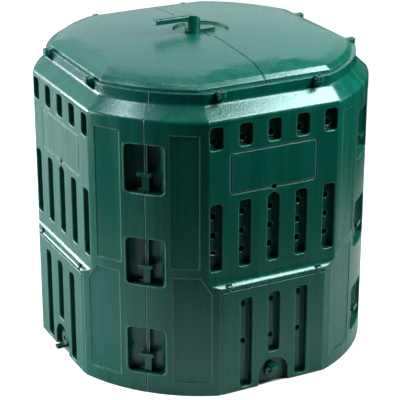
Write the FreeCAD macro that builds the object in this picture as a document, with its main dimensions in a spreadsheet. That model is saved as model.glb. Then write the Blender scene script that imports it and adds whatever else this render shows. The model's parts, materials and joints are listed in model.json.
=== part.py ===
import FreeCAD, Part
import Sketcher
import os
import re

# Compost bin with a two-leaf lid. Four identical wall panels stand in a ring and meet at
# the middle of the rounded corners. Origin: centre of the floor outline, +Z up, front -Y.

SIZES = (
    # Ring of walls
    ("wall_thick", 5, "skin of a wall panel"),
    ("face_reach", 360, "axis to the flat upper face of a wall"),
    ("door_step", 12.5, "how far a door stands out from the face above it"),
    ("corner_swell", 34.5, "how far the rounded corners reach beyond the faces"),
    ("neck_inset", 32, "how far the neck stands in from the wall"),
    ("shoulder_gap", 13, "short slots to the foot of the shoulder slope"),
    ("shoulder_tall", 30, "height of the shoulder slope"),
    ("neck_tall", 24.5, "height of the upright neck up to the rim"),
    ("rim_width", 30, "width of the rim that the lid rests on"),
    ("rim_thick", 4, "thickness of the rim"),
    ("bend_radius", 12, "rounding at shoulder and neck"),
    ("seam_gap", 1.5, "gap between two wall panels"),
    # Ledge above each door
    ("ledge_foot", 262, "floor to the underside of the ledge"),
    ("ledge_lip_tall", 5, "height of the upright lip of the ledge"),
    ("ledge_slope_tall", 10, "height of the slope of the ledge"),
    ("ledge_bend", 9, "rounding at the lip of the ledge"),
    ("ledge_sweep", 16, "rounding where the ledge runs up into the face"),
    # Vent slots
    ("slot_pitch", 71.5, "distance between two slots"),
    ("slot_width", 30, "width of a long slot"),
    ("slot_depth", 16.5, "depth of every slot"),
    ("slot_skin", 3.5, "skin behind and beside a slot"),
    ("slot_corner", 8, "corner rounding of a slot"),
    ("slot_mouth", 2, "rounding at the mouth of a slot"),
    ("slot_floor", 3, "rounding round the floor of a slot"),
    ("long_slot_gap", 32, "ledge to the long slots"),
    ("long_slot_tall", 160, "height of a long slot"),
    ("short_slot_gap", 10.7, "plate field to the short slots"),
    ("short_slot_tall", 52, "height of a short slot"),
    ("vent_hole", 7, "radius of an air hole in a slot"),
    ("hole_sink", 2, "depth and width of the bevel round an air hole"),
    # Plain plate field
    ("plate_wide", 219, "width of the plate field"),
    ("plate_gap", 16.7, "long slots to the plate field"),
    ("plate_tall", 98.6, "height of the plate field"),
    ("plate_corner", 10, "corner rounding of the plate field"),
    ("groove_width", 3.5, "width of the groove round the plate field"),
    ("groove_depth", 1.6, "depth of that groove"),
    ("plate_hole", 6.5, "radius of the hole at the foot of the plate field"),
    ("plate_hole_lift", 2, "foot of the plate field to the centre of that hole"),
    ("slot_peak", 6, "rise of the pointed top of the middle long slot"),
    # Shallow panels on the corner wings
    ("wing_panel_depth", 1.2, "least depth of a wing panel"),
    ("wing_panel_corner", 4, "corner rounding of a wing panel"),
    ("upper_panel_wide", 65, "width of an upper wing panel"),
    ("upper_panel_gap", 41, "ledge to an upper wing panel"),
    ("upper_panel_drop", 30, "top of an upper wing panel to the shoulder"),
    ("upper_panel_turn", 31.8, "middle of a face to an upper wing panel, in degrees"),
    ("lower_panel_wide", 86, "width of a lower wing panel"),
    ("lower_panel_turn", 29.4, "middle of a face to a lower wing panel, in degrees"),
    ("lower_panel_low", 34, "floor to a lower wing panel"),
    ("lower_panel_lift", 18, "ledge to the top of a lower wing panel"),
    ("panel_bevel_wide", 25, "width of the cut corner of a lower wing panel"),
    ("panel_bevel_tall", 38, "height of that cut corner"),
    # Clip pockets and the joint of two walls
    ("pocket_wide", 92, "width of a clip pocket"),
    ("pocket_tall", 113, "height of a clip pocket"),
    ("pocket_depth", 26, "depth of a clip pocket"),
    ("pocket_skin", 4, "skin of a clip pocket"),
    ("pocket_corner", 12, "corner rounding of a clip pocket"),
    ("pocket_bowl", 22, "rounding between the sides and the floor of a clip pocket"),
    ("pocket_foot", 9, "rounding between the ends and the floor of a clip pocket"),
    ("pocket_lip", 2.5, "bevel round the mouth of a clip pocket"),
    ("pocket_low", 49, "floor to the lowest clip pocket"),
    ("pocket_pitch", 220.5, "distance between two clip pockets"),
    ("rib_thick", 4, "thickness of the joining rib of one panel"),
    ("rib_stand", 12, "how far the rib stands out of the pocket floor"),
    ("rib_root", 14, "how far the rib reaches in behind the pocket floor"),
    ("rib_low", 8, "floor to the joining rib"),
    ("rib_drop", 20, "top of the joining rib to the shoulder"),
    ("rail_thick", 4, "thickness of the clip rail at the edge of the rib"),
    ("rail_wing", 1.5, "how far the clip rail stands out on each side"),
    ("rail_tall", 40, "height of the clip rail"),
    # Clip
    ("clip_play", 0.4, "gap between clip and rail"),
    ("clip_wall", 2.4, "wall of the clip"),
    ("tab_wide", 34, "width of the thumb tab on the clip"),
    ("tab_reach", 11, "how far the thumb tab stands out of the clip"),
    ("tab_thick", 4, "thickness of the thumb tab"),
    ("tab_lip", 4, "height of the upturned lip of the thumb tab"),
    # Lid hinge brackets on the neck
    ("bracket_place", 121, "face centre to a bracket"),
    ("bracket_wide", 14, "width of a bracket"),
    ("bracket_out", 17.5, "how far a bracket stands out of the neck"),
    ("bracket_proud", 5.5, "how far a bracket stands above the rim"),
    ("bracket_tall", 31, "height of a bracket"),
    ("bracket_lip", 13, "height of the upright front of a bracket"),
    ("bracket_skin", 2.5, "skin of a bracket"),
    ("lid_axis_out", 7.5, "neck to the lid hinge axis"),
    ("lid_axis_drop", 1, "rim down to the lid hinge axis"),
    ("pin_radius", 2.5, "radius of a lid hinge pin"),
    ("pin_head", 3.8, "radius of the head of a lid hinge pin"),
    ("pin_head_tall", 2, "height of that head"),
    ("pin_play", 0.06, "running play of pins and shafts"),
    # Doorway
    ("doorway_half", 136, "half the width of the rebate for a door"),
    ("frame_thick", 5, "thickness of the door frame"),
    ("frame_set", 21.5, "face of a door to the seat behind it"),
    ("seat_wide", 16, "width of the side seats of a door"),
    ("seat_drop", 26, "ledge to the top of the side seats"),
    ("threshold_tall", 20, "height of the threshold bar"),
    # Door
    ("door_gap", 1.2, "gap between a door and its wall"),
    ("door_low", 2, "floor to the lower edge of a door"),
    ("door_drop", 3.5, "ledge to the upper edge of a door"),
    ("door_slot_low", 10, "floor to the side slots of a door"),
    ("door_slot_drop", 23.5, "upper edge of a door to its slots"),
    ("middle_slot_gap", 16, "latch niche to the middle slot of a door"),
    ("door_hole", 6, "radius of an air hole in a door"),
    ("door_edge", 1.5, "rounding of the upper front edge of a door"),
    ("door_axis_set", 3.5, "face of a door to its hinge axis"),
    ("door_axis_lift", 5, "ledge to a door hinge axis"),
    ("door_hinge_in", 21, "side of the doorway to a door hinge"),
    ("door_pin", 3, "radius of a door hinge bar"),
    ("eye_radius", 5.5, "outer radius of a hinge eye"),
    ("eye_wide", 10, "width of a hinge eye"),
    ("window_wide", 16, "width of a hinge window in the ledge"),
    ("arch_half", 39, "half the width of the latch niche"),
    ("arch_rise", 29, "floor to the centre of the round niche top"),
    ("arch_depth", 14, "depth of the latch niche"),
    ("arch_skin", 4, "skin behind and beside the latch niche"),
    # Latch
    ("knob_rise", 31, "floor to the latch axis"),
    ("knob_radius", 17, "radius of the latch knob"),
    ("knob_gap", 0.5, "gap between knob and niche"),
    ("knob_tall", 8, "how far the knob stands out of the niche"),
    ("bean_wide", 5, "radius of the wide end of the bean-shaped finger hole"),
    ("bean_narrow", 3.5, "radius of its narrow end"),
    ("bean_half", 4.5, "half the distance of its two ends"),
    ("bean_depth", 6.5, "depth of the finger hole"),
    ("lever_wide", 16, "width of the finger lever"),
    ("lever_low", 14, "latch axis to the inner side of the finger lever"),
    ("lever_thick", 8, "thickness of the finger lever"),
    ("lever_reach", 30, "length of the finger lever out of the niche"),
    ("spindle_radius", 6, "radius of the latch spindle"),
    ("square_half", 4, "half the side of the square end of the spindle"),
    ("cam_reach", 26, "latch axis to the tip of the cam"),
    ("cam_wide", 12, "width of the cam"),
    ("cam_thick", 5, "thickness of the cam"),
    ("cam_gap", 1, "gap between the threshold bar and a turned cam"),
    ("screw_radius", 1.5, "radius of the cam screw"),
    ("screw_head", 5, "radius of its head"),
    ("screw_head_tall", 2.5, "height of its head"),
    ("screw_bite", 8, "how deep the screw goes in"),
    ("knob_tilt", 15, "turn of the front knob at rest, in degrees"),
    # Lid
    ("lid_skin", 4, "skin of the lid"),
    ("lid_set", 16, "neck to the straight edges of the lid in front and behind"),
    ("lid_side_set", 8, "neck to the straight edges of the lid on the hinge sides"),
    ("lid_corner_set", 10.5, "neck to the round edges of the lid"),
    ("lid_lift", 0.3, "gap between rim and lid"),
    ("lid_edge", 10.5, "height of the upright edge above the lid's underside"),
    ("lid_slope", 0.355, "rise per length of the straight bevels"),
    ("dome_set", 44, "round edges of the lid to the edge of the dome"),
    ("dome_edge_lift", 13.2, "lid edge to the edge of the dome"),
    ("dome_tall", 18.5, "height of the dome above its edge"),
    ("edge_strip_drop", 5.5, "height of the slanted strip along the lid's edge, down its side"),
    ("edge_strip_wide", 10, "width of that strip, in over the top"),
    ("edge_bend", 3, "rounding on both sides of that strip"),
    ("split_gap", 2.5, "gap between the two lid leaves"),
    ("split_rib_drop", 29, "crown of the dome to the foot of the ribs beside the split"),
    ("split_rib", 3.5, "thickness of the ribs beside the split"),
    ("well_radius", 66, "radius of the round well of the handle"),
    ("well_depth", 6, "depth of the well below the crown"),
    ("lug_wide", 8, "width of a lid hinge lug"),
    ("lug_thick", 4, "thickness of a lid hinge lug"),
    ("lug_gap", 1, "gap between rim and lug"),
    ("lug_boss", 4.2, "outer radius of the eye of a lug"),
    # Handle
    ("post_place", 21, "split to the handle axis"),
    ("post_radius", 18, "radius of the handle post"),
    ("elbow_radius", 24, "rounding of the elbow where the grip turns into the post"),
    ("grip_lift", 22.5, "crown of the dome to the underside of the grip"),
    ("grip_tall", 14, "height of the grip arm"),
    ("grip_wide", 22, "width of the grip arm"),
    ("grip_reach", 99, "handle axis to the end of the grip"),
    ("tongue_reach", 55, "handle axis to the end of the tongue"),
    ("tongue_wide", 22, "width of the tongue"),
    ("tongue_tall", 6.5, "height of the tongue"),
    ("tongue_play", 0.4, "gap between the tongue and the well"),
    ("landing_play", 0.5, "gap round the landing of the tongue"),
    ("landing_extra", 3, "how far the landing is wider than the tongue"),
    ("shaft_radius", 8, "radius of the handle shaft"),
    ("shaft_tail", 12, "how far the shaft reaches below the well"),
    ("collar_radius", 15, "outer radius of the collar on the shaft"),
    ("collar_tall", 6, "height of that collar"),
    ("beyond", 12, "how far cutting blocks reach past a surface"),
)

# Places that follow from the sizes: from the floor up, and from the axis out
PLACES = (
    ("door_reach", "face_reach+door_step"),
    ("corner_reach", "face_reach+corner_swell"),
    ("frame_reach", "door_reach-frame_set"),
    ("door_axis_reach", "door_reach-door_axis_set"),
    ("neck_reach", "face_reach-neck_inset"),
    ("lid_reach", "neck_reach-lid_set"),
    ("lid_side_reach", "neck_reach-lid_side_set"),
    ("lid_corner", "corner_reach-neck_inset-lid_corner_set"),
    ("dome_radius", "lid_corner-dome_set"),
    ("opening_half", "doorway_half-seat_wide"),
    ("door_hinge_place", "doorway_half-door_hinge_in"),
    ("ledge_lip", "ledge_foot+ledge_lip_tall"),
    ("ledge_rise", "ledge_lip+ledge_slope_tall"),
    ("long_slot_low", "ledge_rise+long_slot_gap"),
    ("plate_low", "long_slot_low+long_slot_tall+plate_gap"),
    ("plate_top", "plate_low+plate_tall"),
    ("short_slot_low", "plate_top+short_slot_gap"),
    ("shoulder_rise", "short_slot_low+short_slot_tall+shoulder_gap"),
    ("neck_rise", "shoulder_rise+shoulder_tall"),
    ("rim_rise", "neck_rise+neck_tall"),
    ("upper_panel_low", "ledge_rise+upper_panel_gap"),
    ("upper_panel_top", "shoulder_rise-upper_panel_drop"),
    ("lower_panel_top", "ledge_rise+lower_panel_lift"),
    ("rib_top", "shoulder_rise-rib_drop"),
    ("bracket_top", "rim_rise+bracket_proud"),
    ("bracket_foot", "bracket_top-bracket_tall"),
    ("lid_axis_rise", "rim_rise-lid_axis_drop"),
    ("door_top", "ledge_foot-door_drop"),
    ("opening_top", "ledge_foot-seat_drop"),
    ("door_slot_top", "door_top-door_slot_drop"),
    ("middle_slot_low", "arch_rise+arch_half+middle_slot_gap"),
    ("door_axis_rise", "ledge_foot+door_axis_lift"),
    ("lid_low", "rim_rise+lid_lift"),
    ("dome_edge_rise", "lid_low+lid_edge+dome_edge_lift"),
    ("dome_rise", "dome_edge_rise+dome_tall"),
    ("well_floor", "dome_rise-well_depth"),
    ("split_rib_low", "dome_rise-split_rib_drop"),
    ("grip_low", "dome_rise+grip_lift"),
)

SIDES = (("front", 0), ("right", 90), ("back", 180), ("left", 270))
ROWS = (("lower", 0), ("middle", 1), ("upper", 2))
ENDS = (("left", -1), ("right", 1))

doc = FreeCAD.newDocument("CompostBin")
sheet = doc.addObject("Spreadsheet::Sheet", "Sizes")
for row, (name, size, note) in enumerate(SIZES, 1):
    sheet.set("A%d" % row, name)
    sheet.set("B%d" % row, str(size))
    sheet.set("C%d" % row, note)
    sheet.setAlias("B%d" % row, name)
doc.recompute()

NEAR = 0.01
SIZE_WORD = re.compile(r"\b(" + "|".join(name for name, size, note in SIZES) + r")\b")
PLACE_WORD = re.compile(r"\b(" + "|".join(name for name, text in PLACES) + r")\b")
TURN = {"x": (FreeCAD.Vector(0, 1, 0), 90), "y": (FreeCAD.Vector(1, 0, 0), -90), "z": (FreeCAD.Vector(0, 0, 1), 0)}
sub_parts = []


def spelled(text):
    """Write a place as the sizes that it follows from."""
    places = dict(PLACES)
    text = str(text)
    while PLACE_WORD.search(text):
        text = PLACE_WORD.sub(lambda word: "(%s)" % places[word.group(1)], text)
    return text


def formula(text):
    """Write an expression with the sheet named in front of each size."""
    return SIZE_WORD.sub(r"Sizes.\1", spelled(text))


def number(text):
    """Work out an expression of sizes."""
    return float(sheet.evalExpression(spelled(text)))


def turned(angle, rise=0):
    """Placement that turns about the bin's axis and lifts."""
    return FreeCAD.Placement(FreeCAD.Vector(0, 0, rise), FreeCAD.Rotation(FreeCAD.Vector(0, 0, 1), angle))


def bind(thing, **formulas):
    for name, text in formulas.items():
        thing.setExpression(name, formula(text))


def put(thing, place):
    for axis, text in zip("xyz", place):
        thing.setExpression("Placement.Base." + axis, formula(text))


def block(name, x, y, z, rounded=None, along="y", floor=None):
    """Box between pairs of formulas. Its edges along one axis are rounded if asked, and with a
    floor given as (radius, end) also the edges round its low or high end along that axis."""
    box = doc.addObject("Part::Box", name)
    for side, (low, high) in zip(("Length", "Width", "Height"), (x, y, z)):
        box.setExpression(side, formula("(%s)-(%s)" % (high, low)))
    put(box, (x[0], y[0], z[0]))
    if rounded is None:
        return box
    box.recompute()
    smooth = doc.addObject("Part::Fillet", name + "_smooth")
    smooth.Base = box
    axis = "xyz".index(along)
    ends = sorted(corner.Point[axis] for corner in box.Shape.Vertexes)
    rounds = []
    for place, edge in enumerate(box.Shape.Edges, 1):
        radius = 0
        if abs(edge.tangentAt(edge.FirstParameter)[axis]) > 0.9:
            radius = number(rounded)
        elif floor and abs(edge.CenterOfMass[axis] - ends[floor[1]]) < NEAR:
            radius = number(floor[0])
        if radius:
            rounds.append((place, radius, radius))
    smooth.Edges = rounds
    return smooth


def rod(name, radius, length, start, along):
    """Cylinder from a start point along one axis."""
    bar = doc.addObject("Part::Cylinder", name)
    bar.setExpression("Radius", formula(radius))
    bar.setExpression("Height", formula(length))
    bar.Placement.Rotation = FreeCAD.Rotation(*TURN[along])
    put(bar, start)
    return bar


def cone(name, start_radius, end_radius, length, start, along):
    """Cone frustum from a start point along one axis."""
    taper = doc.addObject("Part::Cone", name)
    bind(taper, Radius1=start_radius, Radius2=end_radius, Height=length)
    taper.Placement.Rotation = FreeCAD.Rotation(*TURN[along])
    put(taper, start)
    return taper


def fuse(name, pieces):
    whole = doc.addObject("Part::MultiFuse", name)
    whole.Shapes = pieces
    return whole


def common(name, pieces):
    shared = doc.addObject("Part::MultiCommon", name)
    shared.Shapes = pieces
    return shared


def cut(name, base, tools):
    left = doc.addObject("Part::Cut", name)
    left.Base = base
    left.Tool = tools[0] if len(tools) == 1 else fuse(name + "_tools", tools)
    return left


def eased(name, source, radius, chosen):
    """The edges of a source that chosen picks, rounded."""
    source.recompute(True)
    smooth = doc.addObject("Part::Fillet", name)
    smooth.Base = source
    size = number(radius)
    smooth.Edges = [
        (place, size, size) for place, edge in enumerate(source.Shape.Edges, 1) if chosen(edge)
    ]
    return smooth


def level_at(edge, y):
    """Whether an edge lies in the upright plane y."""
    return all(abs(point.Point.y - y) < NEAR for point in edge.Vertexes) and abs(edge.CenterOfMass.y - y) < NEAR


def group(name, pieces, placement):
    """Pieces kept together and placed as one."""
    together = doc.addObject("Part::Compound", name)
    together.Links = pieces
    together.Placement = placement
    return together


def sub_part(name, source, placement=None):
    """A finished piece under its own name, from a shape that other pieces may share."""
    piece = doc.addObject("PartDesign::Body", name)
    piece.Label = name
    piece.BaseFeature = source
    if placement:
        piece.Placement = placement
    sub_parts.append(piece)
    return piece


def outline(body, name, role, points, domed=None):
    """Closed sketch through points given as formulas. The side that starts at point number
    domed is an arc with its centre on the sketch's upright axis."""
    sketch = body.newObject("Sketcher::SketchObject", name)
    plane = [item for item in body.Origin.OriginFeatures if item.Role == role][0]
    sketch.AttachmentSupport = [(plane, "")]
    sketch.MapMode = "FlatFace"
    corners = [FreeCAD.Vector(number(u), number(v), 0) for u, v in points]
    for place, start in enumerate(corners):
        end = corners[(place + 1) % len(corners)]
        if place == domed:
            rise = abs(end.y - start.y)
            radius = (start.x ** 2 + rise ** 2) / (2 * rise)
            middle = FreeCAD.Vector(0, end.y - radius, 0)
            circle = Part.Circle(middle, FreeCAD.Vector(0, 0, 1), radius)
            sketch.addGeometry(Part.ArcOfCircle(circle, circle.parameter(start), circle.parameter(end)))
            sketch.addConstraint(Sketcher.Constraint("PointOnObject", place, 3, -2))
        else:
            sketch.addGeometry(Part.LineSegment(start, end))
    for place in range(len(corners)):
        following = (place + 1) % len(corners)
        sketch.addConstraint(Sketcher.Constraint("Coincident", place, 2, following, 1))
    for place, texts in enumerate(points):
        for kind, text, spot in zip(("DistanceX", "DistanceY"), texts, corners[place]):
            index = sketch.addConstraint(Sketcher.Constraint(kind, -1, 1, place, 1, spot))
            sketch.setExpression("Constraints[%d]" % index, formula(text))
    return sketch


def padded(name, role, points, length):
    """Solid of one section drawn out to both sides of its plane."""
    body = doc.addObject("PartDesign::Body", name)
    pad = body.newObject("PartDesign::Pad", name + "_pad")
    pad.Profile = outline(body, name + "_section", role, points)
    pad.Midplane = True
    bind(pad, Length=length)
    return body


def plate(name, points, near, far):
    """Solid of one section, drawn in the XZ plane, between two places on the Y axis."""
    body = padded(name, "XZ_Plane", points, "(%s)-(%s)" % (far, near))
    body.setExpression("Placement.Base.y", formula("((%s)+(%s))/2" % (near, far)))
    return body


def revolved(name, points, domed=None):
    """Solid of one section, drawn in the XZ plane and turned about the bin's axis."""
    body = doc.addObject("PartDesign::Body", name)
    sketch = outline(body, name + "_section", "XZ_Plane", points, domed)
    turn = body.newObject("PartDesign::Revolution", name + "_turn")
    turn.Profile = sketch
    turn.ReferenceAxis = (sketch, ["V_Axis"])
    turn.Angle = 360
    return body


def bent(body, radius, heights):
    """Round the edges of a body that lie level at the given heights, away from its axis."""
    body.recompute(True)
    tip = body.Tip
    levels = [number(text) for text in heights]
    edges = []
    for place, edge in enumerate(tip.Shape.Edges, 1):
        box = edge.BoundBox
        level = box.ZLength < 0.001 and any(abs(box.ZMin - rise) < 0.001 for rise in levels)
        if level and max(box.XLength, box.YLength) > number("corner_reach"):
            edges.append("Edge%d" % place)
    smooth = body.newObject("PartDesign::Fillet", "%s_%s" % (body.Name, radius))
    smooth.Base = (tip, edges)
    bind(smooth, Radius=radius)
    return body


# Shared ring of walls: what lies inside the rounded corners and inside the flat faces
RING_WIDE = "2*corner_reach+2*beyond"


def wall_section(reach, low, skin, top):
    """Section of the wall from the floor to the rim, set in by a skin."""
    drop = "0.4*(%s)" % skin
    return [
        ("0", low),
        ("%s-(%s)" % (reach, skin), low),
        ("%s-(%s)" % (reach, skin), "shoulder_rise-%s" % drop),
        ("%s-neck_inset-(%s)" % (reach, skin), "neck_rise-%s" % drop),
        ("%s-neck_inset-(%s)" % (reach, skin), top),
        ("0", top),
    ]


def face_section(low, skin, top):
    """Section of the flat side with the ledge over the doorway, on the -Y side."""
    drop = "0.4*(%s)" % skin
    return [
        ("0", low),
        ("-(door_reach-(%s))" % skin, low),
        ("-(door_reach-(%s))" % skin, "ledge_lip-%s" % drop),
        ("-(face_reach-(%s))" % skin, "ledge_rise-%s" % drop),
        ("-(face_reach-(%s))" % skin, "shoulder_rise-%s" % drop),
        ("-(neck_reach-(%s))" % skin, "neck_rise-%s" % drop),
        ("-(neck_reach-(%s))" % skin, top),
        ("0", top),
    ]


bends = ("shoulder_rise", "neck_rise")
round_outside = bent(revolved("round_outside", wall_section("corner_reach", "0", "0", "rim_rise")), "bend_radius", bends)
face_outside = bent(padded("face_outside", "YZ_Plane", face_section("0", "0", "rim_rise"), RING_WIDE),
                    "bend_radius", bends)
bent(face_outside, "ledge_bend", ["ledge_lip"])
bent(face_outside, "ledge_sweep", ["ledge_rise"])
round_inside = revolved("round_inside", wall_section("corner_reach", "-beyond", "wall_thick", "rim_rise-rim_thick"))
face_inside = padded("face_inside", "YZ_Plane", face_section("-beyond", "wall_thick", "rim_rise-rim_thick"), RING_WIDE)
outside = common("wall_outside", [round_outside, face_outside])
inside = common("wall_inside", [round_inside, face_inside])

# Mouth of the bin inside the rim
mouth_round = rod("mouth_round", "corner_reach-neck_inset-rim_width", "2*beyond", ("0", "0", "rim_rise-beyond"), "z")
mouth_face = block("mouth_face", ("-corner_reach", "corner_reach"), ("-(neck_reach-rim_width)", "0"),
                   ("rim_rise-beyond", "rim_rise+beyond"))
mouth = common("mouth", [mouth_round, mouth_face])
skin = cut("wall_skin", outside, [inside, mouth])


# A quarter of the ring, from seam to seam
seam_inset = "(seam_gap/2*sqrt(2))"
wedge = doc.addObject("PartDesign::Body", "wedge")
wedge_sketch = outline(wedge, "wedge_section", "XY_Plane", [
    ("0", "-" + seam_inset), ("corner_reach", "-corner_reach-" + seam_inset),
    ("-corner_reach", "-corner_reach-" + seam_inset)])
wedge_pad = wedge.newObject("PartDesign::Pad", "wedge_pad")
wedge_pad.Profile = wedge_sketch
bind(wedge_pad, Length="bracket_top+beyond")
quarter_skin = common("quarter_skin", [skin, wedge])


# Slots: each is a blind recess with its own back, and air holes through the back
def slots(name, reach, places):
    """Backs, recesses and air holes of a row of slots, from (place, low, top, width, holes)."""
    backs, hollows, holes = [], [], []
    floor = "%s-slot_depth" % reach
    for tag, (place, low, top, width, spots, radius) in enumerate(places):
        label = "%s_%d" % (name, tag + 1)
        sides = ("%s-%s/2" % (place, width), "%s+%s/2" % (place, width))
        backs.append(block(
            label + "_back", ("%s-slot_skin" % sides[0], "%s+slot_skin" % sides[1]),
            ("-(%s-wall_thick/2)" % reach, "-(%s-slot_skin)" % floor), ("%s-slot_skin" % low, "%s+slot_skin" % top),
            "slot_corner"))
        hollows.append(block(
            label + "_hollow", sides, ("-(%s+beyond)" % reach, "-(%s)" % floor), (low, top), "slot_corner", "y",
            ("slot_floor", 1)))
        for count, share in enumerate(spots):
            rise = "%s-(%s)*(%s-(%s))" % (top, share, top, low)
            hole = "%s_hole_%d" % (label, count + 1)
            holes.append(rod(hole, radius, "2*beyond", (place, "-(%s+beyond)" % floor, rise), "y"))
            holes.append(cone(hole + "_bevel", radius + "+2*hole_sink", radius, "2*hole_sink",
                              (place, "-(%s+hole_sink)" % floor, rise), "y"))
    return backs, hollows, holes


wall_slots = []
for step in range(-2, 3):
    centre = "(%d*slot_pitch)" % step
    wall_slots.append((centre, "long_slot_low", "(long_slot_low+long_slot_tall)", "slot_width",
                       (0.21, 0.5, 0.78), "vent_hole"))
    wall_slots.append((centre, "short_slot_low", "(short_slot_low+short_slot_tall)", "(slot_width+2)",
                       (0.72,), "vent_hole"))
slot_backs, slot_hollows, slot_holes = slots("slot", "face_reach", wall_slots)

# Plain plate field inside its groove, with one small hole below
field_outer = block("field_outer", ("-plate_wide/2", "plate_wide/2"),
                    ("-(face_reach+beyond)", "-(face_reach-groove_depth)"), ("plate_low", "plate_top"), "plate_corner")
field_inner = block("field_inner", ("-(plate_wide/2-groove_width)", "plate_wide/2-groove_width"),
                    ("-(face_reach+2*beyond)", "-(face_reach-beyond)"),
                    ("plate_low+groove_width", "plate_top-groove_width"), "plate_corner-groove_width")
field_groove = cut("field_groove", field_outer, [field_inner])
field_hole = rod("field_hole", "plate_hole", "3*beyond", ("0", "-(face_reach+beyond)", "plate_low+plate_hole_lift"),
                 "y")


def peak(name, grow, near, far):
    """Pointed top of the middle long slot."""
    top = "(long_slot_low+long_slot_tall)"
    half = "slot_width/2-slot_corner/2+(%s)" % grow
    return plate(name, [("-(%s)" % half, top + "-slot_corner"), (half, top + "-slot_corner"), (half, top),
                        ("0", "%s+slot_peak+(%s)" % (top, grow)), ("-(%s)" % half, top)], near, far)


slot_backs.append(peak("peak_back", "slot_skin", "-(face_reach-wall_thick/2)", "-(face_reach-slot_depth-slot_skin)"))
slot_hollows.append(peak("peak_hollow", "0", "-(face_reach+beyond)", "-(face_reach-slot_depth)"))


# Shallow flat panels on the wings, drawn facing -Y and turned to their place
def wing_floor(width):
    return "-(sqrt(corner_reach^2-(%s/2)^2)-wing_panel_depth)" % width


upper_panel = block("upper_panel", ("-upper_panel_wide/2", "upper_panel_wide/2"),
                    ("-(corner_reach+beyond)", wing_floor("upper_panel_wide")),
                    ("upper_panel_low", "upper_panel_top"), "wing_panel_corner")


def lower_panel(name, inward):
    """Lower wing panel with a cut upper corner on the side of the door."""
    top = "lower_panel_top"
    near = "%d*lower_panel_wide/2" % inward
    points = [
        ("-(%s)" % near, "lower_panel_low"),
        ("-(%s)" % near, top),
        ("%s-(%d*panel_bevel_wide)" % (near, inward), top),
        (near, top + "-panel_bevel_tall"),
        (near, "lower_panel_low"),
    ]
    floor = wing_floor("lower_panel_wide")
    return plate(name, points, floor + "-2*beyond", floor)


wing_panels = []
for end, sign in ENDS:
    wing_panels.append(group("upper_panel_" + end, [upper_panel], turned(sign * number("upper_panel_turn"))))
    wing_panels.append(group("lower_panel_" + end, [lower_panel("lower_panel_cut_" + end, -sign)],
                             turned(sign * number("lower_panel_turn"))))

# Clip pockets, joining ribs and clip rails, drawn on the +X axis and turned to each seam


def funnel(name, low, top):
    """Bevelled mouth of a clip pocket."""
    half = "pocket_wide/2"
    ends, sides = "corner_reach-pocket_lip", "sqrt(corner_reach^2-(pocket_wide/2)^2)-pocket_lip"
    return common(name, [
        padded(name + "_ends", "XZ_Plane", [
            (ends, low), (ends + "+beyond", low + "-beyond"),
            (ends + "+beyond", top + "+beyond"), (ends, top)], "2*pocket_wide"),
        padded(name + "_sides", "XY_Plane", [
            (sides, "-" + half), (sides + "+2*beyond", "-%s-2*beyond" % half),
            (sides + "+2*beyond", half + "+2*beyond"), (sides, half)], "3*rim_rise"),
        block(name + "_room", (sides, "corner_reach+beyond"), ("-(%s+pocket_lip)" % half, half + "+pocket_lip"),
              (low + "-pocket_lip", top + "+pocket_lip"), "pocket_corner+pocket_lip", "x")])


pocket_floor = "corner_reach-pocket_depth"
pocket_backs, pocket_hollows, rails = [], [], []
for row, count in ROWS:
    low = "pocket_low+%d*pocket_pitch" % count
    top = low + "+pocket_tall"
    pocket_backs.append(block(
        "pocket_back_" + row, ("%s-pocket_skin" % pocket_floor, "corner_reach-wall_thick/2"),
        ("-(pocket_wide/2+pocket_skin)", "pocket_wide/2+pocket_skin"), (low + "-pocket_skin", top + "+pocket_skin"),
        "pocket_corner", "x"))
    deep = (pocket_floor, "corner_reach+2*pocket_bowl")
    wide = ("-pocket_wide/2", "pocket_wide/2")
    pocket_hollows.append(common("pocket_hollow_" + row, [
        block("pocket_front_" + row, deep, wide, (low, top), "pocket_corner", "x"),
        block("pocket_sides_" + row, deep, wide, (low, top), "pocket_bowl", "z"),
        block("pocket_ends_" + row, deep, wide, (low, top), "pocket_foot", "y")]))
    pocket_hollows.append(funnel("pocket_mouth_" + row, low, top))
    rails.append(block(
        "rail_" + row, ("%s+rib_stand-rail_thick" % pocket_floor, "%s+rib_stand" % pocket_floor),
        ("-(rib_thick+rail_wing)", "rib_thick+rail_wing"), (low, low + "+rail_tall")))
rib_sides = ("-rib_thick", "rib_thick")
flange = block("flange", ("%s-rib_root" % pocket_floor, "corner_reach-wall_thick/2"), rib_sides,
               ("rib_low", "rib_top"))
rib = block("rib", ("%s-pocket_skin/2" % pocket_floor, "%s+rib_stand" % pocket_floor), rib_sides,
            ("pocket_low-pocket_skin/2", "pocket_low+2*pocket_pitch+pocket_tall+pocket_skin/2"))
seam_back = fuse("seam_back", pocket_backs + [flange])
seam_hollow = fuse("seam_hollow", pocket_hollows)
seam_rail = fuse("seam_rail", rails + [rib])
seams = {end: turned(-90 + sign * 45) for end, sign in ENDS}

# Door frame: a tray behind the door, cut clear inside
frame_tray = common("frame_tray", [outside, block(
    "frame_block", ("-(doorway_half+frame_thick)", "doorway_half+frame_thick"),
    ("-(door_reach+beyond)", "-(frame_reach-frame_thick)"), ("0", "ledge_foot+frame_thick"))])
rebate = block("rebate", ("-doorway_half", "doorway_half"), ("-(door_reach+beyond)", "-frame_reach"),
               ("-beyond", "ledge_foot"))
doorway = block("doorway", ("-opening_half", "opening_half"), ("-(door_reach+beyond)", "-(frame_reach-2*beyond)"),
                ("threshold_tall", "ledge_foot"))
swing_room = block("swing_room", ("-doorway_half", "doorway_half"),
                   ("-(door_reach+beyond)", "-(frame_reach-2*beyond)"), ("opening_top", "ledge_foot"))

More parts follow.
